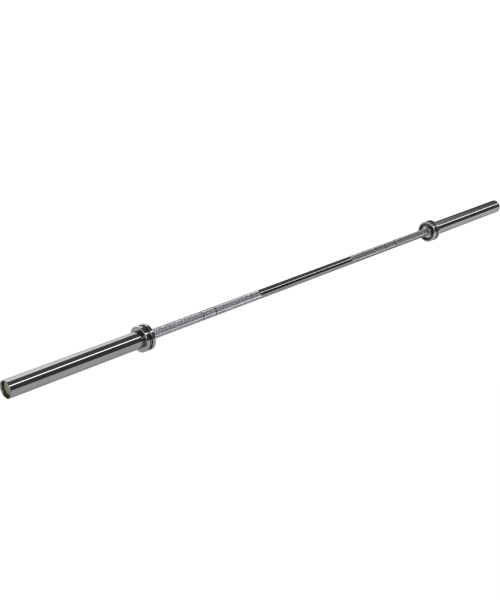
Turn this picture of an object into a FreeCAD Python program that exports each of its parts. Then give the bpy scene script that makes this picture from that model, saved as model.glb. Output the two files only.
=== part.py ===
import FreeCAD, Part
import os
import Sketcher

# Olympic barbell: a solid bar with a turning sleeve on each end.
# The X axis is the bar's axis, the origin is the middle of the bar and +Z is up.
# Every right-hand piece is drawn in place along +X.
# Its left-hand twin is the same body turned half a turn about Z.

doc = FreeCAD.newDocument("barbell")

# Driving sizes in millimetres: name, value, what it measures
SIZES = [
    ("overall_length", "2220", "from one sleeve end to the other"),
    ("grip_length", "1310", "clear length between the two collars"),
    ("grip_diameter", "28", "plain bar surface"),
    ("smooth_length", "436", "plain stretch in the middle of the grip"),
    ("knurl_rise", "0.25", "height of the knurled bands over the plain bar"),
    ("knurl_land", "6", "plain strip between the knurling and the bearing flange"),
    ("inner_mark_spacing", "810", "between the two inner ring marks"),
    ("outer_mark_spacing", "910", "between the two outer ring marks"),
    ("mark_width", "4", "width of a ring mark"),
    ("mark_depth", "0.2", "depth of a ring mark under the plain bar"),
    ("shoulder_height", "1.5", "step from the bar down to the bearing journal"),
    ("shaft_end_chamfer", "1", "bevel on the bar's two hidden ends"),
    ("collar_width", "31.5", "along the bar"),
    ("collar_diameter", "76", "over the two rings of a collar"),
    ("collar_groove_width", "9.5", "channel between the two rings"),
    ("collar_groove_depth", "4", "depth of that channel"),
    ("collar_edge_bevel", "1.6", "bevel on the collar's outer edges"),
    ("groove_lip_bevel", "1", "bevel on the channel's two lips"),
    ("rim_wall", "6", "wall round the recess in a collar's inner face"),
    ("recess_depth", "6", "depth of that recess"),
    ("recess_bevel", "0.8", "bevel on the mouth of that recess"),
    ("seat_depth", "1", "depth to which a sleeve's shoulder is let into its collar"),
    ("seat_relief", "1", "free ring round the shoulder in the collar's outer face"),
    ("sleeve_diameter", "50", "surface that carries the plates"),
    ("spigot_step", "3", "step from the sleeve down to its spigot in the collar"),
    ("sleeve_end_chamfer", "1.2", "bevel on the sleeve's outer end"),
    ("bushing_step", "1", "step from a bushing's seat down to the plain bore"),
    ("bushing_wall", "3.5", "wall of both bushings"),
    ("running_clearance", "0.06", "radial gap between journal and bushing"),
    ("inner_bushing_length", "60", "barrel of the flanged bushing"),
    ("outer_bushing_length", "50", "plain bushing near the sleeve's end"),
    ("flange_lip", "3", "wall of the flange round its thrust washer"),
    ("flange_proud", "1.5", "how far the flange stands out of the collar's face"),
    ("flange_bevel", "0.9", "bevel on the flange's rim"),
    ("shoulder_inset", "0.5", "from the flange's face in to the bar's shoulder"),
    ("thrust_width", "2.5", "inner thrust washer beyond the plain bar"),
    ("thrust_thickness", "2", "inner thrust washer"),
    ("thrust_clearance", "0.3", "round that washer in the flange"),
    ("outer_thrust_thickness", "2.5", "outer thrust washer"),
    ("retainer_thickness", "3", "steel washer behind the shaft's snap ring"),
    ("retainer_width", "4", "both outer washers beyond the journal"),
    ("washer_bore_clearance", "0.1", "round the journal in all the washers"),
    ("chamber_clearance", "0.5", "round the outer washers in the sleeve"),
    ("axial_play", "0.3", "free travel at each thrust washer"),
    ("snap_groove_depth", "0.55", "groove for the shaft's snap ring"),
    ("snap_thickness", "2", "shaft's snap ring"),
    ("snap_groove_play", "0.15", "snap ring in the width of its groove"),
    ("snap_width", "2.8", "beam of the snap ring, measured radially"),
    ("snap_gap", "4", "free gap between the ring's two lugs"),
    ("lug_radius", "2.2", "rounding of a lug"),
    ("lug_rise", "0.6", "how far a lug stands out over the beam"),
    ("plier_hole", "2", "hole in a lug"),
    ("end_land", "4", "bar beyond the snap ring's groove"),
    ("cap_air_gap", "8", "between the bar's end and the end cap"),
    ("cap_recess", "9", "from the sleeve's end in to the cap's face"),
    ("cap_wall", "3.6", "sleeve wall round the end cap"),
    ("mouth_taper_length", "3", "tapered mouth of the sleeve, which closes the hoop ring on its way in"),
    ("mouth_taper_rise", "1.2", "how much wider that mouth is at the sleeve's end, per side"),
    ("cap_clearance", "0.05", "round the end cap in the sleeve"),
    ("cap_flange_thickness", "3", "rim of the end cap"),
    ("cap_boss_height", "3", "raised disc of the end cap"),
    ("cap_boss_clearance", "0.5", "between that disc and the hoop ring"),
    ("cap_edge_bevel", "0.6", "bevel on the raised disc"),
    ("hoop_thickness", "1.6", "flat hoop ring that holds the end cap"),
    ("hoop_width", "3.2", "hoop ring, measured radially"),
    ("hoop_groove_depth", "1.2", "groove for the hoop ring in the sleeve"),
    ("hoop_clearance", "0.05", "hoop ring in its groove"),
    ("hoop_gap_angle", "30", "opening of the hoop ring, in degrees"),
]

# Planes across the bar on its right-hand half, and radii, all from the sizes above
LAYOUT = [
    ("half_length", "Sizes.overall_length / 2"),
    ("smooth_end", "Sizes.smooth_length / 2"),
    ("collar_face", "Sizes.grip_length / 2"),
    ("collar_back", "collar_face + Sizes.collar_width"),
    ("groove_start", "collar_face + (Sizes.collar_width - Sizes.collar_groove_width) / 2"),
    ("groove_end", "groove_start + Sizes.collar_groove_width"),
    ("sleeve_shoulder", "collar_back - Sizes.seat_depth"),
    ("recess_floor", "collar_face + Sizes.recess_depth"),
    ("flange_face", "collar_face - Sizes.flange_proud"),
    ("knurl_end", "flange_face - Sizes.knurl_land"),
    ("shaft_shoulder", "flange_face + Sizes.shoulder_inset"),
    ("thrust_back", "shaft_shoulder + Sizes.thrust_thickness"),
    ("pocket_floor", "thrust_back + Sizes.axial_play"),
    ("inner_bushing_end", "recess_floor + Sizes.inner_bushing_length"),
    ("cap_face", "half_length - Sizes.cap_recess"),
    ("cap_flange_front", "cap_face - Sizes.cap_boss_height"),
    ("cap_seat", "cap_flange_front - Sizes.cap_flange_thickness"),
    ("hoop_groove_start", "cap_flange_front - Sizes.hoop_clearance"),
    ("hoop_back", "cap_flange_front + Sizes.hoop_thickness"),
    ("shaft_end", "cap_seat - Sizes.cap_air_gap"),
    ("snap_back", "shaft_end - Sizes.end_land"),
    ("snap_front", "snap_back - Sizes.snap_thickness"),
    ("snap_groove_front", "snap_front - Sizes.snap_groove_play"),
    ("retainer_front", "snap_front - Sizes.retainer_thickness"),
    ("outer_thrust_front", "retainer_front - Sizes.outer_thrust_thickness"),
    ("chamber_floor", "outer_thrust_front - Sizes.axial_play"),
    ("outer_bushing_start", "chamber_floor - Sizes.outer_bushing_length"),
    ("inner_mark_start", "(Sizes.inner_mark_spacing - Sizes.mark_width) / 2"),
    ("inner_mark_end", "inner_mark_start + Sizes.mark_width"),
    ("outer_mark_start", "(Sizes.outer_mark_spacing - Sizes.mark_width) / 2"),
    ("outer_mark_end", "outer_mark_start + Sizes.mark_width"),
    ("grip_r", "Sizes.grip_diameter / 2"),
    ("knurl_r", "grip_r + Sizes.knurl_rise"),
    ("mark_r", "grip_r - Sizes.mark_depth"),
    ("mark_cut_r", "knurl_r + Sizes.mark_depth"),
    ("journal_r", "grip_r - Sizes.shoulder_height"),
    ("snap_groove_r", "journal_r - Sizes.snap_groove_depth"),
    ("snap_cut_r", "journal_r + Sizes.snap_groove_depth"),
    ("snap_r", "snap_groove_r + Sizes.snap_width"),
    ("lug_height", "snap_r + Sizes.lug_rise - Sizes.lug_radius"),
    ("lug_side", "Sizes.snap_gap / 2 + Sizes.lug_radius"),
    ("washer_bore_r", "journal_r + Sizes.washer_bore_clearance"),
    ("bushing_bore_r", "journal_r + Sizes.running_clearance"),
    ("bushing_r", "bushing_bore_r + Sizes.bushing_wall"),
    ("plain_bore_r", "bushing_r - Sizes.bushing_step"),
    ("thrust_r", "grip_r + Sizes.thrust_width"),
    ("pocket_r", "thrust_r + Sizes.thrust_clearance"),
    ("flange_r", "pocket_r + Sizes.flange_lip"),
    ("retainer_r", "journal_r + Sizes.retainer_width"),
    ("chamber_r", "retainer_r + Sizes.chamber_clearance"),
    ("sleeve_r", "Sizes.sleeve_diameter / 2"),
    ("spigot_r", "sleeve_r - Sizes.spigot_step"),
    ("seat_r", "sleeve_r + Sizes.seat_relief"),
    ("collar_r", "Sizes.collar_diameter / 2"),
    ("recess_r", "collar_r - Sizes.rim_wall"),
    ("groove_floor_r", "collar_r - Sizes.collar_groove_depth"),
    ("cap_bore_r", "sleeve_r - Sizes.cap_wall"),
    ("mouth_end", "half_length - Sizes.mouth_taper_length"),
    ("mouth_r", "cap_bore_r + Sizes.mouth_taper_rise"),
    ("cap_r", "cap_bore_r - Sizes.cap_clearance"),
    ("hoop_groove_r", "cap_bore_r + Sizes.hoop_groove_depth"),
    ("hoop_r", "hoop_groove_r - Sizes.hoop_clearance"),
    ("hoop_bore_r", "hoop_r - Sizes.hoop_width"),
    ("boss_r", "hoop_bore_r - Sizes.cap_boss_clearance"),
]

sizes = doc.addObject("Spreadsheet::Sheet", "Sizes")
for row, (name, number, note) in enumerate(SIZES, 1):
    sizes.set("A%d" % row, name)
    sizes.set("B%d" % row, number)
    sizes.set("C%d" % row, note)
    sizes.setAlias("B%d" % row, name)
doc.recompute()

layout = doc.addObject("Spreadsheet::Sheet", "Layout")
for row, (name, formula) in enumerate(LAYOUT, 1):
    layout.set("A%d" % row, name)
    layout.set("B%d" % row, "=" + formula)
    layout.setAlias("B%d" % row, name)
    doc.recompute()


def at(name):
    """Present value of a plane or radius."""
    return float(layout.get(name))


def new_body(label, side):
    """Empty body with its label; a left-hand one is turned half a turn about Z."""
    body = doc.addObject("PartDesign::Body", label)
    body.Label = label
    turn = 0
    if side == "left":
        turn = 180
    body.Placement = FreeCAD.Placement(
        FreeCAD.Vector(0, 0, 0), FreeCAD.Rotation(FreeCAD.Vector(0, 0, 1), turn)
    )
    return body


def new_sketch(body, name, role):
    """Sketch on one of the body's own origin planes."""
    sketch = body.newObject("Sketcher::SketchObject", name)
    plane = [item for item in body.Origin.OriginFeatures if item.Role == role][0]
    sketch.AttachmentSupport = [(plane, "")]
    sketch.MapMode = "FlatFace"
    return sketch


def tie(sketch, kind, element, point, name):
    """Distance from the sketch's origin to a point, bound to a named plane or radius."""
    number = sketch.addConstraint(
        Sketcher.Constraint(kind, -1, 1, element, point, at(name))
    )
    sketch.setExpression("Constraints[%d]" % number, "Layout." + name)


def add_outline(sketch, corners):
    """Closed outline through (plane, radius) corners; "axis" and "middle" mean zero."""
    places = []
    for plane, radius in corners:
        along = 0 if plane == "middle" else at(plane)
        across = 0 if radius == "axis" else at(radius)
        places.append(FreeCAD.Vector(along, across, 0))
    first = sketch.GeometryCount
    count = len(places)
    for n in range(count):
        sketch.addGeometry(Part.LineSegment(places[n], places[(n + 1) % count]))
    for n in range(count):
        following = first + (n + 1) % count
        sketch.addConstraint(
            Sketcher.Constraint("Coincident", first + n, 2, following, 1)
        )
    for n, (plane, radius) in enumerate(corners):
        if plane == "middle":
            sketch.addConstraint(Sketcher.Constraint("PointOnObject", first + n, 1, -2))
        else:
            tie(sketch, "DistanceX", first + n, 1, plane)
        if radius == "axis":
            sketch.addConstraint(Sketcher.Constraint("PointOnObject", first + n, 1, -1))
        else:
            tie(sketch, "DistanceY", first + n, 1, radius)


def turn(body, name, corners):
    """Turned piece: the outline revolved about the bar's axis."""
    sketch = new_sketch(body, name + "_outline", "XY_Plane")
    add_outline(sketch, corners)
    feature = body.newObject("PartDesign::Revolution", name)
    feature.Profile = sketch
    feature.ReferenceAxis = (sketch, ["H_Axis"])
    feature.Angle = 360
    sketch.Visibility = False
    doc.recompute()
    return feature


def cut_round(body, name, sketch):
    """Turned groove; it has to take material away."""
    before = body.Shape.Volume
    feature = body.newObject("PartDesign::Groove", name)
    feature.Profile = sketch
    feature.ReferenceAxis = (sketch, ["H_Axis"])
    feature.Angle = 360
    doc.recompute()
    if body.Shape.Volume >= before:
        raise RuntimeError(name + " cuts nothing")
    return feature


def circles_at(feature, places):
    """Names of the circular edges that lie in the given planes with the given radii."""
    names = []
    for plane, radius in places:
        for number, edge in enumerate(feature.Shape.Edges, 1):
            if not isinstance(edge.Curve, Part.Circle):
                continue
            near = abs(edge.Curve.Center.x - plane) < 0.0001
            if near and abs(edge.Curve.Radius - radius) < 0.0001:
                names.append("Edge%d" % number)
    if len(names) != len(places):
        raise RuntimeError("edges missing on " + feature.Name)
    return names


def bevel(body, name, base, places, size):
    """Bevel on circular edges, with its size bound to the sheet."""
    feature = body.newObject("PartDesign::Chamfer", name)
    feature.Base = (base, circles_at(base, places))
    feature.setExpression("Size", "Sizes." + size)
    doc.recompute()
    return feature


# Bar: knurled grip with ring marks, a journal and a snap ring groove at each end
shaft = new_body("shaft", "right")
half = turn(shaft, "shaft_half", [
    ("middle", "axis"),
    ("middle", "grip_r"),
    ("smooth_end", "grip_r"),
    ("smooth_end", "knurl_r"),
    ("knurl_end", "knurl_r"),
    ("knurl_end", "grip_r"),
    ("shaft_shoulder", "grip_r"),
    ("shaft_shoulder", "journal_r"),
    ("shaft_end", "journal_r"),
    ("shaft_end", "axis"),
])
marks_sketch = new_sketch(shaft, "ring_marks_outline", "XY_Plane")
add_outline(marks_sketch, [
    ("inner_mark_start", "mark_r"),
    ("inner_mark_start", "mark_cut_r"),
    ("inner_mark_end", "mark_cut_r"),
    ("inner_mark_end", "mark_r"),
])
marks = cut_round(shaft, "inner_ring_mark", marks_sketch)
outer_sketch = new_sketch(shaft, "outer_mark_outline", "XY_Plane")
add_outline(outer_sketch, [
    ("outer_mark_start", "mark_r"),
    ("outer_mark_start", "mark_cut_r"),
    ("outer_mark_end", "mark_cut_r"),
    ("outer_mark_end", "mark_r"),
])
outer_marks = cut_round(shaft, "outer_ring_mark", outer_sketch)
snap_sketch = new_sketch(shaft, "snap_groove_outline", "XY_Plane")
add_outline(snap_sketch, [
    ("snap_groove_front", "snap_groove_r"),
    ("snap_groove_front", "snap_cut_r"),
    ("snap_back", "snap_cut_r"),
    ("snap_back", "snap_groove_r"),
])
snap_groove = cut_round(shaft, "snap_groove", snap_sketch)
half_volume = shaft.Shape.Volume
mirrored = shaft.newObject("PartDesign::Mirrored", "both_halves")
mirrored.Originals = [half, marks, outer_marks, snap_groove]
yz_plane = [item for item in shaft.Origin.OriginFeatures if item.Role == "YZ_Plane"][0]
mirrored.MirrorPlane = (yz_plane, [""])
shaft.Tip = mirrored
doc.recompute()
if abs(shaft.Shape.Volume - 2 * half_volume) > 1:
    raise RuntimeError("the bar's two halves differ")
bevel(
    shaft, "shaft_end_bevel", mirrored,
    [(at("shaft_end"), at("journal_r")), (-at("shaft_end"), at("journal_r"))],
    "shaft_end_chamfer",
)

pieces = [shaft]

for side in ("left", "right"):
    # Sleeve: tube with a spigot for the collar and stepped seats for what it holds
    sleeve = new_body(side + "_sleeve", side)
    tube = turn(sleeve, side + "_tube", [
        ("recess_floor", "bushing_r"),
        ("recess_floor", "spigot_r"),
        ("sleeve_shoulder", "spigot_r"),
        ("sleeve_shoulder", "sleeve_r"),
        ("half_length", "sleeve_r"),
        ("half_length", "mouth_r"),
        ("mouth_end", "cap_bore_r"),
        ("hoop_back", "cap_bore_r"),
        ("hoop_back", "hoop_groove_r"),
        ("hoop_groove_start", "hoop_groove_r"),
        ("hoop_groove_start", "cap_bore_r"),
        ("cap_seat", "cap_bore_r"),
        ("cap_seat", "chamber_r"),
        ("chamber_floor", "chamber_r"),
        ("chamber_floor", "bushing_r"),
        ("outer_bushing_start", "bushing_r"),
        ("outer_bushing_start", "plain_bore_r"),
        ("inner_bushing_end", "plain_bore_r"),
        ("inner_bushing_end", "bushing_r"),
    ])
    bevel(
        sleeve, side + "_sleeve_bevel", tube,
        [(at("half_length"), at("sleeve_r"))],
        "sleeve_end_chamfer",
    )

    # Collar: two rings with a channel between them, and a recessed inner face
    collar = new_body(side + "_collar", side)
    ring = turn(collar, side + "_collar_ring", [
        ("recess_floor", "spigot_r"),
        ("recess_floor", "recess_r"),
        ("collar_face", "recess_r"),
        ("collar_face", "collar_r"),
        ("groove_start", "collar_r"),
        ("groove_start", "groove_floor_r"),
        ("groove_end", "groove_floor_r"),
        ("groove_end", "collar_r"),
        ("collar_back", "collar_r"),
        ("collar_back", "seat_r"),
        ("sleeve_shoulder", "seat_r"),
        ("sleeve_shoulder", "spigot_r"),
    ])
    lips = bevel(
        collar, side + "_groove_lips", ring,
        [(at("groove_start"), at("collar_r")), (at("groove_end"), at("collar_r"))],
        "groove_lip_bevel",
    )
    edges = bevel(
        collar, side + "_collar_edges", lips,
        [(at("collar_face"), at("collar_r")), (at("collar_back"), at("collar_r"))],
        "collar_edge_bevel",
    )
    bevel(
        collar, side + "_recess_mouth", edges,
        [(at("collar_face"), at("recess_r"))],
        "recess_bevel",
    )

    # Flanged bushing: its flange shows round the bar and houses the thrust washer
    inner_bushing = new_body(side + "_inner_bushing", side)
    barrel = turn(inner_bushing, side + "_inner_barrel", [
        ("flange_face", "pocket_r"),
        ("flange_face", "flange_r"),
        ("recess_floor", "flange_r"),
        ("recess_floor", "bushing_r"),
        ("inner_bushing_end", "bushing_r"),
        ("inner_bushing_end", "bushing_bore_r"),
        ("pocket_floor", "bushing_bore_r"),
        ("pocket_floor", "pocket_r"),
    ])
    bevel(
        inner_bushing, side + "_flange_rim", barrel,
        [(at("flange_face"), at("flange_r")), (at("flange_face"), at("pocket_r"))],
        "flange_bevel",
    )

    # Inner thrust washer: between the bar's shoulder and the flange
    inner_thrust = new_body(side + "_inner_thrust_washer", side)
    turn(inner_thrust, side + "_inner_disc", [
        ("shaft_shoulder", "washer_bore_r"),
        ("shaft_shoulder", "thrust_r"),
        ("thrust_back", "thrust_r"),
        ("thrust_back", "washer_bore_r"),
    ])

    # Plain bushing near the sleeve's outer end
    outer_bushing = new_body(side + "_outer_bushing", side)
    turn(outer_bushing, side + "_outer_barrel", [
        ("outer_bushing_start", "bushing_bore_r"),
        ("outer_bushing_start", "bushing_r"),
        ("chamber_floor", "bushing_r"),
        ("chamber_floor", "bushing_bore_r"),
    ])

    # Outer thrust washer: takes the outward pull of the sleeve
    outer_thrust = new_body(side + "_outer_thrust_washer", side)
    turn(outer_thrust, side + "_outer_disc", [
        ("outer_thrust_front", "washer_bore_r"),
        ("outer_thrust_front", "retainer_r"),
        ("retainer_front", "retainer_r"),
        ("retainer_front", "washer_bore_r"),
    ])

    # Steel washer that spreads the load on the snap ring
    retainer = new_body(side + "_retainer_washer", side)
    turn(retainer, side + "_retainer_disc", [
        ("retainer_front", "washer_bore_r"),
        ("retainer_front", "retainer_r"),
        ("snap_front", "retainer_r"),
        ("snap_front", "washer_bore_r"),
    ])

    # Snap ring on the bar: an open flat ring with two plier lugs at the top
    snap = new_body(side + "_shaft_snap_ring", side)
    beam_sketch = new_sketch(snap, side + "_beam_outline", "YZ_Plane")
    beam_sketch.setExpression("AttachmentOffset.Base.z", "Layout.snap_front")
    beam_sketch.addGeometry(
        Part.Circle(FreeCAD.Vector(0, 0, 0), FreeCAD.Vector(0, 0, 1), at("snap_r"))
    )
    beam_sketch.addConstraint(Sketcher.Constraint("Coincident", 0, 3, -1, 1))
    bound = beam_sketch.addConstraint(Sketcher.Constraint("Radius", 0, at("snap_r")))
    beam_sketch.setExpression("Constraints[%d]" % bound, "Layout.snap_r")
    beam = snap.newObject("PartDesign::Pad", side + "_beam")
    beam.Profile = beam_sketch
    beam.setExpression("Length", "Sizes.snap_thickness")
    doc.recompute()
    lug_sketch = new_sketch(snap, side + "_lug_outline", "YZ_Plane")
    lug_sketch.setExpression("AttachmentOffset.Base.z", "Layout.snap_front")
    hole_sketch = new_sketch(snap, side + "_plier_hole_outline", "YZ_Plane")
    hole_sketch.setExpression("AttachmentOffset.Base.z", "Layout.snap_front")
    lug_size = float(sizes.get("lug_radius"))
    hole_size = float(sizes.get("plier_hole")) / 2
    for sketch, size, formula in (
        (lug_sketch, lug_size, "Sizes.lug_radius"),
        (hole_sketch, hole_size, "Sizes.plier_hole / 2"),
    ):
        for number, way in enumerate((-1, 1)):
            centre = FreeCAD.Vector(way * at("lug_side"), at("lug_height"), 0)
            sketch.addGeometry(Part.Circle(centre, FreeCAD.Vector(0, 0, 1), size))
            bound = sketch.addConstraint(
                Sketcher.Constraint("DistanceX", -1, 1, number, 3, centre.x)
            )
            sketch.setExpression("Constraints[%d]" % bound, "%d * Layout.lug_side" % way)
            tie(sketch, "DistanceY", number, 3, "lug_height")
            bound = sketch.addConstraint(Sketcher.Constraint("Radius", number, size))
            sketch.setExpression("Constraints[%d]" % bound, formula)
    lugs = snap.newObject("PartDesign::Pad", side + "_lugs")
    lugs.Profile = lug_sketch
    lugs.setExpression("Length", "Sizes.snap_thickness")
    doc.recompute()
    eye_sketch = new_sketch(snap, side + "_eye_outline", "YZ_Plane")
    eye_sketch.setExpression("AttachmentOffset.Base.z", "Layout.snap_front")
    eye_sketch.addGeometry(
        Part.Circle(FreeCAD.Vector(0, 0, 0), FreeCAD.Vector(0, 0, 1), at("snap_groove_r"))
    )
    eye_sketch.addConstraint(Sketcher.Constraint("Coincident", 0, 3, -1, 1))
    bound = eye_sketch.addConstraint(
        Sketcher.Constraint("Radius", 0, at("snap_groove_r"))
    )
    eye_sketch.setExpression("Constraints[%d]" % bound, "Layout.snap_groove_r")
    gap_sketch = new_sketch(snap, side + "_gap_outline", "YZ_Plane")
    gap_sketch.setExpression("AttachmentOffset.Base.z", "Layout.snap_front")
    gap_half = float(sizes.get("snap_gap")) / 2
    gap_top = at("snap_r") + lug_size
    gap_corners = [(-gap_half, 0), (gap_half, 0), (gap_half, gap_top), (-gap_half, gap_top)]
    for n in range(4):
        start = FreeCAD.Vector(gap_corners[n][0], gap_corners[n][1], 0)
        stop = FreeCAD.Vector(gap_corners[n - 3][0], gap_corners[n - 3][1], 0)
        gap_sketch.addGeometry(Part.LineSegment(start, stop))
    for n in range(4):
        gap_sketch.addConstraint(Sketcher.Constraint("Coincident", n, 2, (n + 1) % 4, 1))
    gap_sketch.addConstraint(Sketcher.Constraint("Vertical", 1))
    gap_sketch.addConstraint(Sketcher.Constraint("Vertical", 3))
    gap_sketch.addConstraint(Sketcher.Constraint("Horizontal", 2))
    gap_sketch.addConstraint(Sketcher.Constraint("PointOnObject", 0, 1, -1))
    gap_sketch.addConstraint(Sketcher.Constraint("Symmetric", 0, 1, 0, 2, -1, 1))
    bound = gap_sketch.addConstraint(
        Sketcher.Constraint("DistanceX", 0, 1, 0, 2, 2 * gap_half)
    )
    gap_sketch.setExpression("Constraints[%d]" % bound, "Sizes.snap_gap")
    bound = gap_sketch.addConstraint(Sketcher.Constraint("DistanceY", 1, 1, 1, 2, gap_top))
    gap_sketch.setExpression("Constraints[%d]" % bound, "Layout.snap_r + Sizes.lug_radius")
    for name, sketch in (
        (side + "_eye", eye_sketch),
        (side + "_gap", gap_sketch),
        (side + "_plier_holes", hole_sketch),
    ):
        before = snap.Shape.Volume
        cut = snap.newObject("PartDesign::Pocket", name)
        cut.Profile = sketch
        cut.Type = "ThroughAll"
        cut.Midplane = True
        doc.recompute()
        if snap.Shape.Volume >= before:
            raise RuntimeError(name + " cuts nothing")

    # End cap: a rimmed disc in the sleeve's mouth
    cap = new_body(side + "_end_cap", side)
    disc = turn(cap, side + "_cap_disc", [
        ("cap_seat", "axis"),
        ("cap_seat", "cap_r"),
        ("cap_flange_front", "cap_r"),
        ("cap_flange_front", "boss_r"),
        ("cap_face", "boss_r"),
        ("cap_face", "axis"),
    ])
    bevel(
        cap, side + "_cap_bevel", disc,
        [(at("cap_face"), at("boss_r"))],
        "cap_edge_bevel",
    )

    # Hoop ring in front of the cap's rim, open at the bottom
    hoop = new_body(side + "_cap_snap_ring", side)
    section = new_sketch(hoop, side + "_hoop_section", "XZ_Plane")
    add_outline(section, [
        ("cap_flange_front", "hoop_bore_r"),
        ("cap_flange_front", "hoop_r"),
        ("hoop_back", "hoop_r"),
        ("hoop_back", "hoop_bore_r"),
    ])
    bend = hoop.newObject("PartDesign::Revolution", side + "_hoop")
    bend.Profile = section
    bend.ReferenceAxis = (section, ["H_Axis"])
    bend.Midplane = True
    bend.setExpression("Angle", "360 - Sizes.hoop_gap_angle")
    doc.recompute()

    pieces += [
        sleeve, collar, inner_bushing, inner_thrust, outer_bushing,
        outer_thrust, retainer, snap, cap, hoop,
    ]

# Every object has to be sound before anything is written
doc.recompute()
for item in doc.Objects:
    if "Invalid" in item.State or "Error" in item.State:
        raise RuntimeError("%s failed: %s" % (item.Label, item.State))
for piece in pieces:
    shape = piece.Shape
    if shape.isNull() or not shape.isValid() or len(shape.Solids) != 1:
        raise RuntimeError(piece.Label + " is not one sound solid")

os.makedirs("parts", exist_ok=True)
for piece in pieces:
    piece.Shape.exportStep("parts/%s.step" % piece.Label)
    print("%-28s %12.1f mm3" % (piece.Label, piece.Shape.Volume))
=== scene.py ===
import math

import bmesh
import bpy
from mathutils import Matrix, Vector


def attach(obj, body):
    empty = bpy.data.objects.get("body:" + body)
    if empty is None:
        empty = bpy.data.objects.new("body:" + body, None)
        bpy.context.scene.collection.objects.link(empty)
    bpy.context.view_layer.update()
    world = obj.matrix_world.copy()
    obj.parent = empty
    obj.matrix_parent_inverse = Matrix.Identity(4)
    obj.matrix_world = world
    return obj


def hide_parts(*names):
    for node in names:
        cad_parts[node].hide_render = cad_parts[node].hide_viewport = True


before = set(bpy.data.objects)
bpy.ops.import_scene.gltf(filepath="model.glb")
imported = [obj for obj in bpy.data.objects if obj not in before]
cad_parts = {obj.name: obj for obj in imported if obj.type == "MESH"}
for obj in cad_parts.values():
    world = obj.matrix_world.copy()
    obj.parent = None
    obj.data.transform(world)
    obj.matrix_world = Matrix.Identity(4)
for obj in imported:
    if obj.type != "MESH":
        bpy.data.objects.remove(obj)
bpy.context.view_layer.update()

MM = 0.001
deg = math.radians

# Sizes of the barbell in millimetres, as in the solids. A length along the bar counts from its
# middle, and the left end is the right one's twin.
HALF = 1110.0
COLLAR_IN = 655.0
COLLAR_OUT = 686.5
COLLAR_R = 38.0
GROOVE = (666.0, 675.5)
GROOVE_R = 34.0
RECESS_X = 661.0
RECESS_R = 32.0
SEAT_X = 685.5
SEAT_R = 26.0
SLEEVE_R = 25.0
SLEEVE_BEVEL = 1.2
SPIGOT_R = 22.0
BUSH_R = 16.06
BORE_R = 12.56
PLAIN_R = 15.06
BUSH_IN_END = 721.0
BUSH_OUT_START = 1025.2
CHAMBER_X = 1075.2
CHAMBER_R = 17.0
FLANGE_X = 653.5
FLANGE_R = 19.8
FLANGE_BEVEL = 0.9
POCKET_X = 656.3
POCKET_R = 16.8
CAP_SEAT = 1095.0
CAP_RIM = 1098.0
CAP_FACE = 1101.0
CAP_BORE = 21.4
CAP_R = 21.35
CAP_BEVEL = 0.6
BOSS_R = 18.85
HOOP_BACK = 1099.6
HOOP_R = 22.55
HOOP_BORE = 19.35
HOOP_PLAY = 0.05
HOOP_OPENING = 30.0  # degrees
MOUTH_X = 1107.0
MOUTH_R = 22.6
BAR_R = 14.0
CREST_R = 14.25
MARK_R = 13.8
JOURNAL_R = 12.5
SMOOTH_END = 218.0
KNURL_END = 647.5
SHOULDER = 654.0
SHOULDER_BEVEL = 0.5
BAR_END = 1087.0
BAR_END_BEVEL = 1.0
MARKS = (405.0, 455.0)
MARK_HALF = 2.0

# Detail that only the visual model has, in millimetres
ROOT_R = 13.84  # bottom of the knurl
KNURL_COUNT = 84  # crests round the bar
KNURL_STEP = 1.1  # from crest to root along the bar
KNURL_MARGIN = 0.4  # from a knurled band's end to its first crests
BAND_GAP = 0.3  # from the plain bar to a knurled band
MARK_LIP = 0.02
MARK_BEVEL = 0.25
CHANNEL_LINE = (668.2, 669.4)  # strip of the groove's floor left plain chrome between its painted shade, where a bright line shows
RECESS_LIP = 0.5
RING_EDGE = 0.7  # how far the rings' plain chrome reaches into the groove, before its painted shade
AXIS_R = 0.02  # pinhole where a turned face meets the axis
RING_ROUND = 2.4
GROOVE_EDGE_ROUND = 1.2
GROOVE_FLOOR_ROUND = 2.7
RECESS_EDGE_ROUND = 0.9
RECESS_FLOOR_ROUND = 1.2
SLEEVE_EDGE_ROUND = 0.5
SLEEVE_FACE_ROUND = 0.35
HOOP_ROUND = 0.25
EDGE_ROUND = 0.3  # small edges of the sleeve, the hub and the cap
FINE_ROUND = 0.2
NEAR = 0.1
TINY = 0.01

# How finely the turned pieces are cut, and from which angle an edge is sharp
TURNS = 144
COLLAR_TURNS = 192
HOOP_TURNS = 120
ARC_STEPS = 5
COLLAR_ARC_STEPS = 8
TURNED_SHARP = deg(34)
BAR_SHARP = deg(25)


# Node helpers

def new_material(name):
    mat = bpy.data.materials.new(name)
    mat.use_nodes = True
    tree = mat.node_tree
    bsdf = tree.nodes["Principled BSDF"]
    return mat, tree, bsdf


def add(tree, kind, **values):
    node = tree.nodes.new(kind)
    for key, value in values.items():
        setattr(node, key, value)
    return node


def noise(tree, scale, detail=3.0, stretch=(1, 1, 1)):
    """Noise in the part's own coordinates, stretched along its axes."""
    coord = add(tree, "ShaderNodeTexCoord")
    mapping = add(tree, "ShaderNodeMapping")
    mapping.inputs["Scale"].default_value = stretch
    tex = add(tree, "ShaderNodeTexNoise")
    tex.inputs["Scale"].default_value = scale
    tex.inputs["Detail"].default_value = detail
    tree.links.new(coord.outputs["Object"], mapping.inputs["Vector"])
    tree.links.new(mapping.outputs["Vector"], tex.inputs["Vector"])
    return tex.outputs["Fac"]


def axis_distance(tree):
    """Distance from the bar's axis."""
    coord = add(tree, "ShaderNodeTexCoord")
    flat = add(tree, "ShaderNodeVectorMath", operation="MULTIPLY")
    flat.inputs[1].default_value = (0, 1, 1)
    tree.links.new(coord.outputs["Object"], flat.inputs[0])
    size = add(tree, "ShaderNodeVectorMath", operation="LENGTH")
    tree.links.new(flat.outputs["Vector"], size.inputs[0])
    return size.outputs["Value"]


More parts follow.
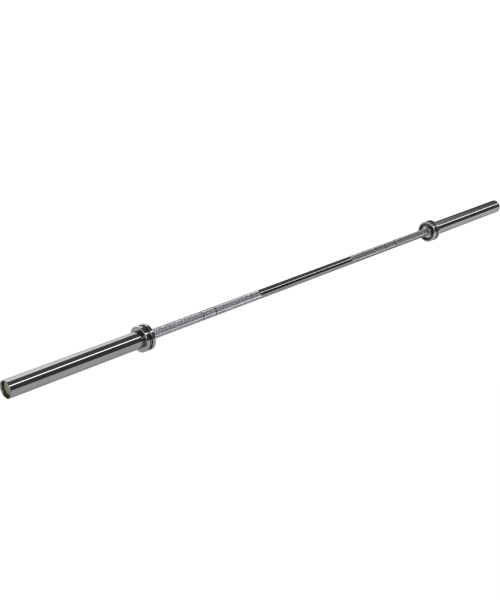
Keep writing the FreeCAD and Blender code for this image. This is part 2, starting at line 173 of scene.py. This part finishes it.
def bar_place(tree):
    """Place along the bar, in metres from its middle."""
    coord = add(tree, "ShaderNodeTexCoord")
    split = add(tree, "ShaderNodeSeparateXYZ")
    tree.links.new(coord.outputs["Object"], split.inputs["Vector"])
    return split.outputs["X"]


def ramp(tree, value, low, high, first, last, kind="SMOOTHSTEP"):
    """Change from one number to another as value goes from low to high."""
    node = add(tree, "ShaderNodeMapRange", interpolation_type=kind)
    node.inputs["From Min"].default_value = low
    node.inputs["From Max"].default_value = high
    node.inputs["To Min"].default_value = first
    node.inputs["To Max"].default_value = last
    tree.links.new(value, node.inputs["Value"])
    return node.outputs["Result"]


def tint(tree, value, low, high, first, last):
    """Smooth change from one colour to another."""
    node = add(tree, "ShaderNodeValToRGB")
    node.color_ramp.elements[0].position = low
    node.color_ramp.elements[0].color = (*first, 1)
    node.color_ramp.elements[1].position = high
    node.color_ramp.elements[1].color = (*last, 1)
    tree.links.new(value, node.inputs["Fac"])
    return node.outputs["Color"]


def bump(tree, bsdf, height, distance):
    node = add(tree, "ShaderNodeBump")
    node.inputs["Distance"].default_value = distance
    node.inputs["Strength"].default_value = 1.0
    tree.links.new(height, node.inputs["Height"])
    tree.links.new(node.outputs["Normal"], bsdf.inputs["Normal"])


# Materials

PATCH_RANGE = (0.3, 0.7)  # the part of a noise's range over which a finish changes
SMUDGE_RANGE = (0.3, 0.72)
RIGHT_SHADE_RANGE = (-0.2, 0.3)  # the stretch of the bar over which the painted shade grows, in metres
KNURL_ROUGH = (0.20, 0.28)


def polished(name, dark, light, rough_low, rough_high):
    """Plated steel: faint smudges in its gloss and hair-fine polishing lines round the bar."""
    mat, tree, bsdf = new_material(name)
    bsdf.inputs["Metallic"].default_value = 1.0
    bsdf.inputs["Specular Tint"].default_value = (0.5, 0.5, 0.5, 1)
    smudge = noise(tree, scale=26.0, detail=4.0, stretch=(0.5, 1, 1))
    tree.links.new(tint(tree, smudge, *PATCH_RANGE, dark, light), bsdf.inputs["Base Color"])
    gloss = ramp(tree, smudge, *SMUDGE_RANGE, rough_low, rough_high)
    tree.links.new(gloss, bsdf.inputs["Roughness"])
    lines = noise(tree, scale=60.0, detail=2.0, stretch=(40, 0.4, 0.4))
    bump(tree, bsdf, lines, distance=0.000004)
    return mat


def knurled(name, bright_root, bright_crest, shaded_root, shaded_crest):
    """Satin plated knurling: brighter crests, darker roots, patches where hands polish it,
    and painted shade that darkens it towards the right."""
    mat, tree, bsdf = new_material(name)
    bsdf.inputs["Metallic"].default_value = 1.0
    height = ramp(tree, axis_distance(tree), ROOT_R * MM, CREST_R * MM, 0.0, 1.0)
    blend = add(tree, "ShaderNodeMix", data_type="RGBA")
    # Painted shade: the knurl's colour darkens towards the right.
    right_shade = ramp(tree, bar_place(tree), *RIGHT_SHADE_RANGE, 0.0, 1.0)
    tree.links.new(right_shade, blend.inputs["Factor"])
    tree.links.new(tint(tree, height, 0.0, 1.0, bright_root, bright_crest), blend.inputs["A"])
    tree.links.new(tint(tree, height, 0.0, 1.0, shaded_root, shaded_crest), blend.inputs["B"])
    tree.links.new(blend.outputs["Result"], bsdf.inputs["Base Color"])
    patches = noise(tree, scale=18.0, stretch=(0.35, 1, 1))
    tree.links.new(ramp(tree, patches, *PATCH_RANGE, *KNURL_ROUGH), bsdf.inputs["Roughness"])
    bump(tree, bsdf, noise(tree, scale=2400.0, detail=2.0), distance=0.000008)
    return mat


def turned(name, dark, light, rough_low, rough_high):
    """Turned or ground metal with rings that follow the cutting tool."""
    mat, tree, bsdf = new_material(name)
    bsdf.inputs["Metallic"].default_value = 1.0
    rings = add(tree, "ShaderNodeTexNoise", noise_dimensions="1D")
    rings.inputs["Scale"].default_value = 2600.0
    rings.inputs["Detail"].default_value = 2.0
    tree.links.new(axis_distance(tree), rings.inputs["W"])
    patches = noise(tree, scale=60.0, detail=4.0)
    tree.links.new(tint(tree, patches, *PATCH_RANGE, dark, light), bsdf.inputs["Base Color"])
    gloss = ramp(tree, patches, *PATCH_RANGE, rough_low, rough_high)
    tree.links.new(gloss, bsdf.inputs["Roughness"])
    bump(tree, bsdf, rings.outputs["Fac"], distance=0.00001)
    return mat


def moulded(name, dark, light, rough_low, rough_high):
    """Moulded plastic with a fine grain."""
    mat, tree, bsdf = new_material(name)
    patches = noise(tree, scale=140.0, detail=4.0)
    tree.links.new(tint(tree, patches, *PATCH_RANGE, dark, light), bsdf.inputs["Base Color"])
    grain = noise(tree, scale=1600.0, detail=2.0)
    gloss = ramp(tree, grain, *PATCH_RANGE, rough_low, rough_high)
    tree.links.new(gloss, bsdf.inputs["Roughness"])
    bump(tree, bsdf, grain, distance=0.00003)
    return mat


chrome = polished("sleeve_chrome", (0.259, 0.254, 0.268), (0.289, 0.284, 0.299), 0.03, 0.06)
collar_chrome = polished("collar_chrome", (0.266, 0.260, 0.272), (0.296, 0.290, 0.302), 0.03, 0.06)
bar_chrome = polished("bar_polished", (0.224, 0.220, 0.233), (0.251, 0.247, 0.261), 0.03, 0.06)
# Painted shade: near-black chrome for the collar's recess and the hub's flange rim.
recess_painted_shade = polished("collar_recess_painted_shade", (0.034, 0.029, 0.030), (0.050, 0.043, 0.044), 0.12, 0.22)
# Painted shade: near-black chrome for the channel between the collar's rings.
groove_painted_shade = polished("collar_groove_painted_shade", (0.014, 0.014, 0.015), (0.024, 0.024, 0.025), 0.08, 0.15)
mark_steel = polished("ring_mark", (0.07, 0.07, 0.075), (0.11, 0.11, 0.115), 0.15, 0.25)
rim_steel = polished("sleeve_rim", (0.19, 0.195, 0.18), (0.24, 0.245, 0.225), 0.22, 0.32)
mouth_steel = polished("sleeve_mouth", (0.17, 0.17, 0.15), (0.21, 0.21, 0.185), 0.30, 0.45)
# The last two colours are the knurl's painted shade towards the right.
knurl_steel = knurled(
    "knurled_steel",
    (0.318, 0.314, 0.336), (0.440, 0.435, 0.464),
    (0.217, 0.214, 0.226), (0.303, 0.299, 0.318),
)
hub_steel = turned("hub_steel", (0.42, 0.41, 0.405), (0.50, 0.49, 0.485), 0.16, 0.28)
bronze = turned("bushing_bronze", (0.48, 0.34, 0.18), (0.58, 0.42, 0.24), 0.25, 0.38)
dull_bronze = turned("washer_bronze", (0.46, 0.425, 0.41), (0.54, 0.50, 0.485), 0.22, 0.34)
plain_steel = turned("washer_steel", (0.46, 0.46, 0.47), (0.54, 0.54, 0.55), 0.28, 0.40)
black_steel = turned("spring_steel", (0.08, 0.08, 0.078), (0.12, 0.12, 0.117), 0.30, 0.45)
olive = moulded("olive_plastic", (0.165, 0.183, 0.108), (0.195, 0.216, 0.129), 0.40, 0.55)


# Mesh helpers

def rounded(corners, steps=ARC_STEPS):
    """Closed outline through (x, radius, rounding) corners, with an arc at each rounded one."""
    out = []
    count = len(corners)
    for n in range(count):
        here = Vector(corners[n][:2])
        size = corners[n][2]
        if size <= 0:
            out.append((here.x, here.y))
            continue
        back = (Vector(corners[n - 1][:2]) - here).normalized()
        on = (Vector(corners[(n + 1) % count][:2]) - here).normalized()
        angle = math.acos(max(-1.0, min(1.0, back.dot(on))))
        reach = size / math.tan(angle / 2)
        centre = here + (back + on).normalized() * (size / math.sin(angle / 2))
        start = here + back * reach - centre
        sweep = math.pi - angle
        if back.x * on.y - back.y * on.x > 0:
            sweep = -sweep
        for k in range(steps + 1):
            turn = sweep * k / steps
            x = start.x * math.cos(turn) - start.y * math.sin(turn)
            y = start.x * math.sin(turn) + start.y * math.cos(turn)
            out.append((centre.x + x, centre.y + y))
    return out


def held(outline, margin=0.15):
    """The outline with points close to both ends of each straight run, which keep it flat in
    smooth shading."""
    out = []
    count = len(outline)
    for n in range(count):
        here, there = Vector(outline[n]), Vector(outline[(n + 1) % count])
        run = there - here
        out.append(outline[n])
        if run.length > 4 * margin:
            step = run.normalized() * margin
            for spot in (here + step, there - step):
                out.append((spot.x, spot.y))
    return out


def make_object(name, points, faces, materials, which, smooth):
    mesh = bpy.data.meshes.new(name)
    mesh.from_pydata(points, [], faces)
    for mat in materials:
        mesh.materials.append(mat)
    mesh.polygons.foreach_set("material_index", which)
    mesh.polygons.foreach_set("use_smooth", smooth)
    mesh.update()
    obj = bpy.data.objects.new(name, mesh)
    bpy.context.scene.collection.objects.link(obj)
    return obj


def lathe(name, outline, sign, materials, pick=None, count=TURNS, opening=0.0):
    """Turned solid from a closed (x, radius) outline; sign -1 makes the left-hand twin.
    With an opening, in degrees, the ring is left open at the bottom and closed at its ends."""
    outline = held(outline)
    rows = len(outline)
    whole = opening == 0.0
    turns = count if whole else count + 1
    points = []
    for k in range(turns):
        if whole:
            a = 2 * math.pi * k / count
        else:
            half = deg(opening) / 2
            a = -math.pi / 2 + half + (2 * math.pi - 2 * half) * k / count
        for x, r in outline:
            points.append((sign * x * MM, r * MM * math.cos(a), r * MM * math.sin(a)))
    faces, which = [], []
    for k in range(count):
        a, b = k * rows, ((k + 1) % turns) * rows
        for n in range(rows):
            m = (n + 1) % rows
            face = (a + n, b + n, b + m, a + m)
            faces.append(face if sign > 0 else face[::-1])
            x = (outline[n][0] + outline[m][0]) / 2
            r = (outline[n][1] + outline[m][1]) / 2
            which.append(pick(x, r) if pick else 0)
    if not whole:
        first = tuple(range(rows))
        last = tuple(range(count * rows, count * rows + rows))[::-1]
        faces += [first, last] if sign > 0 else [first[::-1], last[::-1]]
        which += [0, 0]
    obj = make_object(name, points, faces, materials, which, [True] * len(faces))
    obj.data.validate()
    return obj


def settle(obj, sharp):
    """Turns the faces so that they point out of the solid, and marks its sharp edges."""
    work = bmesh.new()
    work.from_mesh(obj.data)
    bmesh.ops.recalc_face_normals(work, faces=work.faces)
    work.to_mesh(obj.data)
    work.free()
    obj.data.set_sharp_from_angle(angle=sharp)


# Bar: a smooth middle and two sides with cut knurling

def bar_rows():
    """Rings of one side of the bar, from the smooth middle out: x, radius, kind.
    A knurled ring has every other point at the crest, the rest at the root. It has a number
    in place of a kind, and none for its radius."""
    half = [(SMOOTH_END - BAND_GAP, BAR_R, "plain")]
    start = SMOOTH_END
    for mark in (*MARKS, None):
        stop = KNURL_END if mark is None else mark - MARK_HALF
        length = stop - start - 2 * KNURL_MARGIN
        steps = round(length / KNURL_STEP)
        steps += steps % 2
        for n in range(steps + 1):
            half.append((start + KNURL_MARGIN + length * n / steps, None, n))
        if mark is not None:
            start = mark + MARK_HALF
            half += [
                (stop, MARK_R + MARK_LIP, "mark"),
                (stop + MARK_BEVEL, MARK_R, "mark"),
                (start - MARK_BEVEL, MARK_R, "mark"),
                (start, MARK_R + MARK_LIP, "mark"),
            ]
    half += [
        (KNURL_END + BAND_GAP, BAR_R, "plain"),
        (SHOULDER - SHOULDER_BEVEL, BAR_R, "plain"),
        (SHOULDER, BAR_R - SHOULDER_BEVEL, "plain"),
        (SHOULDER, JOURNAL_R, "plain"),
        (BAR_END - BAR_END_BEVEL, JOURNAL_R, "plain"),
        (BAR_END, JOURNAL_R - BAR_END_BEVEL, "plain"),
    ]
    return half


def make_bar(name, rings):
    """Closed mesh through the rings, with a flat disc at each end."""
    count = 2 * KNURL_COUNT
    points, faces, which, smooth = [], [], [], []
    for x, r, kind in rings:
        for k in range(count):
            a = 2 * math.pi * k / count
            size = r
            if r is None:
                size = CREST_R if (k + kind) % 2 == 0 else ROOT_R
            points.append((x * MM, size * MM * math.cos(a), size * MM * math.sin(a)))
    for n in range(len(rings) - 1):
        one, two = rings[n], rings[n + 1]
        cut = one[1] is None and two[1] is None
        joined = one[1] is None or two[1] is None
        kind = 1 if joined else (2 if one[2] == "mark" and two[2] == "mark" else 0)
        for k in range(count):
            m = (k + 1) % count
            a, b = n * count + k, n * count + m
            c, d = (n + 1) * count + m, (n + 1) * count + k
            if cut:
                if (k + one[2]) % 2 == 0:
                    faces += [(a, b, d), (b, c, d)]
                else:
                    faces += [(a, b, c), (a, c, d)]
                which += [1, 1]
                smooth += [False, False]
            else:
                faces.append((a, b, c, d))
                which.append(kind)
                smooth.append(not joined)
    ends = len(points)
    points += [(rings[0][0] * MM, 0, 0), (rings[-1][0] * MM, 0, 0)]
    top = (len(rings) - 1) * count
    for k in range(count):
        m = (k + 1) % count
        faces += [(ends, m, k), (ends + 1, top + k, top + m)]
        which += [0, 0]
        smooth += [False, False]
    obj = make_object(name, points, faces, [bar_chrome, knurl_steel, mark_steel], which, smooth)
    settle(obj, BAR_SHARP)
    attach(obj, "bar")
    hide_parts("shaft")


make_bar("bar_middle", [(x, BAR_R, "plain") for x in (BAND_GAP - SMOOTH_END, SMOOTH_END - BAND_GAP)])
make_bar("bar_right", bar_rows())
make_bar("bar_left", [(-x, r, kind) for x, r, kind in bar_rows()])


# Sleeves, collars and what shows at their two faces

def place(obj, side, node):
    settle(obj, TURNED_SHARP)
    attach(obj, side + "_sleeve_unit")
    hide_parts(side + "_" + node)


def sleeve_outline():
    return rounded([
        (RECESS_X, BUSH_R, 0),
        (RECESS_X, SPIGOT_R, FINE_ROUND),
        (SEAT_X, SPIGOT_R, 0),
        (SEAT_X, SLEEVE_R, EDGE_ROUND),
        (HALF - SLEEVE_BEVEL, SLEEVE_R, SLEEVE_EDGE_ROUND),
        (HALF, SLEEVE_R - SLEEVE_BEVEL, SLEEVE_FACE_ROUND),
        (HALF, MOUTH_R, FINE_ROUND),
        (MOUTH_X, CAP_BORE, SLEEVE_EDGE_ROUND),
        (HOOP_BACK, CAP_BORE, 0),
        (HOOP_BACK, HOOP_R + HOOP_PLAY, 0),
        (CAP_RIM - HOOP_PLAY, HOOP_R + HOOP_PLAY, 0),
        (CAP_RIM - HOOP_PLAY, CAP_BORE, 0),
        (CAP_SEAT, CAP_BORE, 0),
        (CAP_SEAT, CHAMBER_R, 0),
        (CHAMBER_X, CHAMBER_R, 0),
        (CHAMBER_X, BUSH_R, 0),
        (BUSH_OUT_START, BUSH_R, 0),
        (BUSH_OUT_START, PLAIN_R, 0),
        (BUSH_IN_END, PLAIN_R, 0),
        (BUSH_IN_END, BUSH_R, 0),
    ])


def collar_outline():
    return rounded([
        (RECESS_X, SPIGOT_R, 0),
        (RECESS_X, RECESS_R, RECESS_FLOOR_ROUND),
        (COLLAR_IN, RECESS_R, RECESS_EDGE_ROUND),
        (COLLAR_IN, COLLAR_R, RING_ROUND),
        (GROOVE[0], COLLAR_R, GROOVE_EDGE_ROUND),
        (GROOVE[0], GROOVE_R, GROOVE_FLOOR_ROUND),
        (CHANNEL_LINE[1], GROOVE_R, 0),
        (GROOVE[1], GROOVE_R, GROOVE_FLOOR_ROUND),
        (GROOVE[1], COLLAR_R, GROOVE_EDGE_ROUND),
        (COLLAR_OUT, COLLAR_R, RING_ROUND),
        (COLLAR_OUT, SEAT_R, FINE_ROUND),
        (SEAT_X, SEAT_R, 0),
        (SEAT_X, SPIGOT_R, 0),
    ], COLLAR_ARC_STEPS)


def hub_outline():
    return rounded([
        (FLANGE_X, POCKET_R + FLANGE_BEVEL, EDGE_ROUND),
        (FLANGE_X, FLANGE_R - FLANGE_BEVEL, EDGE_ROUND),
        (FLANGE_X + FLANGE_BEVEL, FLANGE_R, EDGE_ROUND),
        (RECESS_X, FLANGE_R, 0),
        (RECESS_X, BUSH_R, 0),
        (BUSH_IN_END, BUSH_R, 0),
        (BUSH_IN_END, BORE_R, 0),
        (POCKET_X, BORE_R, 0),
        (POCKET_X, POCKET_R, 0),
        (FLANGE_X + FLANGE_BEVEL, POCKET_R, EDGE_ROUND),
    ])


def cap_outline():
    return rounded([
        (CAP_SEAT, AXIS_R, 0),
        (CAP_SEAT, CAP_R, 0),
        (CAP_RIM, CAP_R, 0),
        (CAP_RIM, BOSS_R, 0),
        (CAP_FACE - CAP_BEVEL, BOSS_R, EDGE_ROUND),
        (CAP_FACE, BOSS_R - CAP_BEVEL, EDGE_ROUND),
        (CAP_FACE, AXIS_R, 0),
    ])


def hoop_outline():
    return rounded([
        (CAP_RIM, HOOP_BORE, HOOP_ROUND),
        (CAP_RIM, HOOP_R, 0),
        (HOOP_BACK, HOOP_R, 0),
        (HOOP_BACK, HOOP_BORE, HOOP_ROUND),
    ])


def on_rim(x, r):
    """Rim of the hub's flange, which gets the recess's painted shade."""
    return 1 if x > FLANGE_X + FLANGE_BEVEL - NEAR and r > FLANGE_R - 2 * NEAR else 0


def in_mouth(x, r):
    """Bore of the sleeve's mouth, then its tapered and bevelled rim."""
    if CAP_SEAT - NEAR < x < MOUTH_X and r < HOOP_R + HOOP_PLAY + TINY:
        return 1
    return 2 if x > MOUTH_X - 3 * NEAR and r < SLEEVE_R - TINY else 0


def in_recess(x, r):
    """Recess of the inner face, then the channel between the rings: both dark with painted shade, the
    channel apart from one line.
    """
    if COLLAR_IN + RECESS_LIP < x < RECESS_X + NEAR and r < RECESS_R + NEAR:
        return 1
    if r > COLLAR_R - RING_EDGE or not GROOVE[0] - NEAR < x < GROOVE[1] + NEAR:
        return 0
    return 0 if CHANNEL_LINE[0] < x < CHANNEL_LINE[1] else 2


for side, sign in (("left", -1), ("right", 1)):
    place(lathe(side + "_sleeve_shell", sleeve_outline(), sign,
                [chrome, mouth_steel, rim_steel], in_mouth),
          side, "sleeve")
    place(lathe(side + "_collar_rings", collar_outline(), sign,
                [collar_chrome, recess_painted_shade, groove_painted_shade], in_recess, COLLAR_TURNS),
          side, "collar")
    place(lathe(side + "_hub", hub_outline(), sign, [hub_steel, recess_painted_shade], on_rim),
          side, "inner_bushing")
    place(lathe(side + "_cap_disc", cap_outline(), sign, [olive]),
          side, "end_cap")
    place(lathe(side + "_cap_hoop", hoop_outline(), sign, [black_steel], None, HOOP_TURNS, HOOP_OPENING),
          side, "cap_snap_ring")

# The solids that stay get their finish
FINISH = {
    "inner_thrust_washer": dull_bronze,
    "outer_bushing": bronze,
    "outer_thrust_washer": dull_bronze,
    "retainer_washer": plain_steel,
    "shaft_snap_ring": black_steel,
}
for side in ("left", "right"):
    for node, mat in FINISH.items():
        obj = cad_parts[side + "_" + node]
        obj.data.materials.clear()
        obj.data.materials.append(mat)


# Stage, in metres: a pale floor under the collars, a pale backdrop far round it that only the camera
# sees, and a dark card on the floor in front of the bar that only reflections see, which paints a dark
# reflection into the chrome

FLOOR_Z = -COLLAR_R * MM - 0.0002
FLOOR_REACH = 60.0
FLOOR_GREY = 0.05
FLOOR_RANGE = (-0.3, 1.3)  # from left to right, where its glow grows
FLOOR_GLOW = (0.975, 1.38)
WALL_R = 59.0
WALL_TOP = 60.0
WALL_SIDES = 96
WALL_GLOW = 1.0
CARD_Z = FLOOR_Z + 0.0001
CARD_EDGE = -0.45
CARD_GREY = 0.02


def matt(name, grey, glow=0.0):
    """Material without gloss, with a white glow of its own."""
    mat, _, bsdf = new_material(name)
    bsdf.inputs["Base Color"].default_value = (grey, grey, grey, 1)
    bsdf.inputs["Emission Color"].default_value = (1, 1, 1, 1)
    bsdf.inputs["Emission Strength"].default_value = glow
    bsdf.inputs["Roughness"].default_value = 0.9
    bsdf.inputs["Specular IOR Level"].default_value = 0.0
    return mat, bsdf


def stage_object(name, points, faces, mat, unseen_by=()):
    mesh = bpy.data.meshes.new(name)
    mesh.from_pydata(points, [], faces)
    mesh.materials.append(mat)
    obj = bpy.data.objects.new(name, mesh)
    bpy.context.scene.collection.objects.link(obj)
    for rays in unseen_by:
        setattr(obj, "visible_" + rays, False)
    return obj


def level_sheet(reach, near, far, z):
    """Corners of a level rectangle that reaches equally far to the left and the right."""
    return [(-reach, near, z), (reach, near, z), (reach, far, z), (-reach, far, z)]


floor_mat, floor_bsdf = matt("floor_pale", FLOOR_GREY)
floor_tree = floor_mat.node_tree
floor_glow = ramp(floor_tree, bar_place(floor_tree), *FLOOR_RANGE, *FLOOR_GLOW)
floor_tree.links.new(floor_glow, floor_bsdf.inputs["Emission Strength"])
floor = stage_object("floor", level_sheet(FLOOR_REACH, -FLOOR_REACH, FLOOR_REACH, FLOOR_Z),
                     [(0, 1, 2, 3)], floor_mat)

wall_points, wall_faces = [], []
for k in range(WALL_SIDES):
    a = 2 * math.pi * k / WALL_SIDES
    for z in (FLOOR_Z, WALL_TOP):
        wall_points.append((WALL_R * math.cos(a), WALL_R * math.sin(a), z))
    m = (k + 1) % WALL_SIDES
    wall_faces.append((2 * k, 2 * k + 1, 2 * m + 1, 2 * m))
wall_mat, _ = matt("backdrop_pale", 0.0, WALL_GLOW)
backdrop = stage_object("backdrop", wall_points, wall_faces, wall_mat,
                        ("diffuse", "glossy", "transmission", "shadow"))

# Painted reflection: the card darkens what the chrome mirrors of the floor, while the camera still sees
# the floor pale.
card_mat, _ = matt("painted_reflection_black", CARD_GREY)
card = stage_object("painted_reflection_card", level_sheet(WALL_R, -WALL_R, CARD_EDGE, CARD_Z),
                    [(0, 1, 2, 3)], card_mat,
                    ("camera", "diffuse", "transmission", "shadow"))


# Studio light in a dark room, set by direction: `along` is the direction's part along the bar,
# `around` its angle about the bar, 0 at the back, 90 degrees at the top and 180 at the front.
# Up to about 0.43 along the bar only the knurl's facets mirror the light, beyond that the
# sleeves and the smooth middle do too.

BACK_BOX_LIGHT = 2.1
STRIP_LIGHT = 7.6
HAZE_LIGHT = 6.0
FRONT_LIGHT = 0.7
WALL_LIGHT = 1.2
GLOW_LIGHT = 0.06
ROOM_LIGHT = 0.105
KNURL_LIMIT = (0.41, 0.445)
SIDE_LIMIT = (0.38, 0.43)
LEFT_SLEEVE = (0.452, 0.565)  # what these surfaces mirror along the bar
MIDDLE_END = 0.70
RIGHT_SLEEVE = (0.785, 0.83)
HAZE_LEAN = 0.2
HAZE_MIDDLE = deg(78)

world = bpy.data.worlds.new("studio")
bpy.context.scene.world = world
world.use_nodes = True
sky = world.node_tree
sky.nodes.clear()
out = add(sky, "ShaderNodeOutputWorld")
light = add(sky, "ShaderNodeBackground")
sky.links.new(light.outputs["Background"], out.inputs["Surface"])
where = add(sky, "ShaderNodeTexCoord")
split = add(sky, "ShaderNodeSeparateXYZ")
sky.links.new(where.outputs["Generated"], split.inputs["Vector"])


def compute(operation, one, two):
    node = add(sky, "ShaderNodeMath", operation=operation)
    for socket, value in ((node.inputs[0], one), (node.inputs[1], two)):
        if isinstance(value, (int, float)):
            socket.default_value = value
        else:
            sky.links.new(value, socket)
    return node.outputs["Value"]


def total(first, *others):
    for other in others:
        first = compute("ADD", first, other)
    return first


def product(first, *others):
    for other in others:
        first = compute("MULTIPLY", first, other)
    return first


def slope(value, low, high, first, last):
    """Straight change from one number to another."""
    return ramp(sky, value, low, high, first, last, "LINEAR")


def fade_in(value, low, high, full=1.0):
    return ramp(sky, value, low, high, 0.0, full)


def fade_out(value, low, high, full=1.0):
    return ramp(sky, value, low, high, full, 0.0)


def arc(angle, low, high, soft):
    """1 between two angles and 0 outside, with soft edges; low, high and soft in degrees."""
    return product(fade_in(angle, deg(low - soft), deg(low + soft)),
                   fade_out(angle, deg(high - soft), deg(high + soft)))


along = split.outputs["X"]
around = compute("ARCTAN2", split.outputs["Z"], split.outputs["Y"])

# Long soft box behind the bar, for the left sleeve's top
back_edge = slope(along, 0.456, 0.66, deg(71.5), deg(43.5))
back_box = product(
    arc(compute("SUBTRACT", around, back_edge), -70, 0, 1.5),
    fade_out(along, 0.58, 0.66),
    fade_in(along, *KNURL_LIMIT),
    BACK_BOX_LIGHT,
)

# Slim strip over the bar, for the bright line on the sleeves and the smooth middle
strip_place = total(
    slope(along, *LEFT_SLEEVE, deg(129), deg(125)),
    slope(along, LEFT_SLEEVE[1], MIDDLE_END, 0.0, deg(-4.5)),
    slope(along, 0.74, RIGHT_SLEEVE[0], 0.0, deg(6.3)),
    slope(along, *RIGHT_SLEEVE, 0.0, deg(-2.2)),
)
strip = product(
    arc(compute("SUBTRACT", around, strip_place), -2.9, 2.9, 0.8),
    fade_in(along, 0.36, 0.43),
    STRIP_LIGHT,
)

# Broad strip in front, for the bright line low on the knurl
side_place = slope(along, 0.0, 0.12, deg(143), deg(128))
side_strip = product(
    total(ramp(sky, along, 0.05, 0.16, 1.2, 4.7), fade_in(along, 0.22, 0.36, -1.9)),
    fade_out(along, *SIDE_LIMIT),
    arc(compute("SUBTRACT", around, side_place), -16, 16, 5),
)

# Low box behind, for the knurl's bright top
low_edge = slope(along, 0.22, 0.42, deg(50), deg(25))
low_box = product(
    total(slope(along, -0.3, 0.05, 0.4, 2.2), slope(along, 0.05, 0.33, 0.0, 6.0)),
    fade_out(along, *KNURL_LIMIT),
    arc(compute("SUBTRACT", around, low_edge), -70, 0, 6),
)

# Haze behind and a faint glow low in front, for the upper half of the left knurl
haze_track = total(along, product(compute("SUBTRACT", around, HAZE_MIDDLE), HAZE_LEAN))
haze = product(
    fade_out(haze_track, 0.155, 0.195, HAZE_LIGHT),
    fade_out(along, *SIDE_LIMIT),
    fade_in(haze_track, 0.085, 0.12),
    arc(around, 5, 72, 8),
)
front = product(
    fade_out(along, 0.08, 0.12, FRONT_LIGHT),
    fade_in(along, -0.25, -0.1),
    arc(around, 150, 174, 5),
)

# Grey over the top for the right sleeve, a weaker one for the middle
fill = product(
    arc(around, 20, 116, 4),
    total(fade_in(along, 0.71, 0.78, 0.48), fade_in(along, 0.785, 0.82, -0.34)),
)
glow = total(
    product(arc(around, 60, 118, 4), GLOW_LIGHT),
    product(
        arc(around, 25, 88, 8),
        total(fade_in(along, 0.57, 0.64, 0.14), fade_in(along, 0.71, 0.76, -0.14)),
    ),
)

# Wall far left, mirrored by the right hub, and the room itself
wall = fade_out(along, -0.74, -0.62, WALL_LIGHT)
room = product(
    total(ramp(sky, along, 0.58, 0.66, 1.0, 0.45), fade_in(along, 0.72, 0.78, 0.55)),
    ROOM_LIGHT,
)

sky.links.new(
    total(back_box, strip, fill, side_strip, low_box, glow, wall, haze, front, room),
    light.inputs["Strength"],
)
light.inputs["Color"].default_value = (1.0, 1.0, 1.0, 1)


# Camera at the photograph's place

AZIMUTH, ELEVATION = deg(-44.899), deg(22.205)
DISTANCE, SHIFT_RIGHT, SHIFT_UP = 3.17379, -0.17909, -0.07361
FOCAL_PIXELS = 987.64
PICTURE_HEIGHT = 600
SENSOR = 36.0
CLIP_END = 200

back = Vector((math.sin(AZIMUTH) * math.cos(ELEVATION),
               -math.cos(AZIMUTH) * math.cos(ELEVATION),
               math.sin(ELEVATION)))
right = Vector((math.cos(AZIMUTH), math.sin(AZIMUTH), 0))
up = back.cross(right)
cam_data = bpy.data.cameras.new("camera")
cam_data.sensor_fit = "AUTO"
cam_data.sensor_width = SENSOR
cam_data.lens = FOCAL_PIXELS / PICTURE_HEIGHT * SENSOR
cam_data.clip_end = CLIP_END
camera = bpy.data.objects.new("camera", cam_data)
bpy.context.scene.collection.objects.link(camera)
spot = back * DISTANCE + right * SHIFT_RIGHT + up * SHIFT_UP
camera.matrix_world = Matrix.Translation(spot) @ Matrix((right, up, back)).transposed().to_4x4()
bpy.context.scene.camera = camera

view = bpy.context.scene.view_settings
view.view_transform = "Standard"
view.look = "None"
view.exposure = 0.0
view.gamma = 1.0
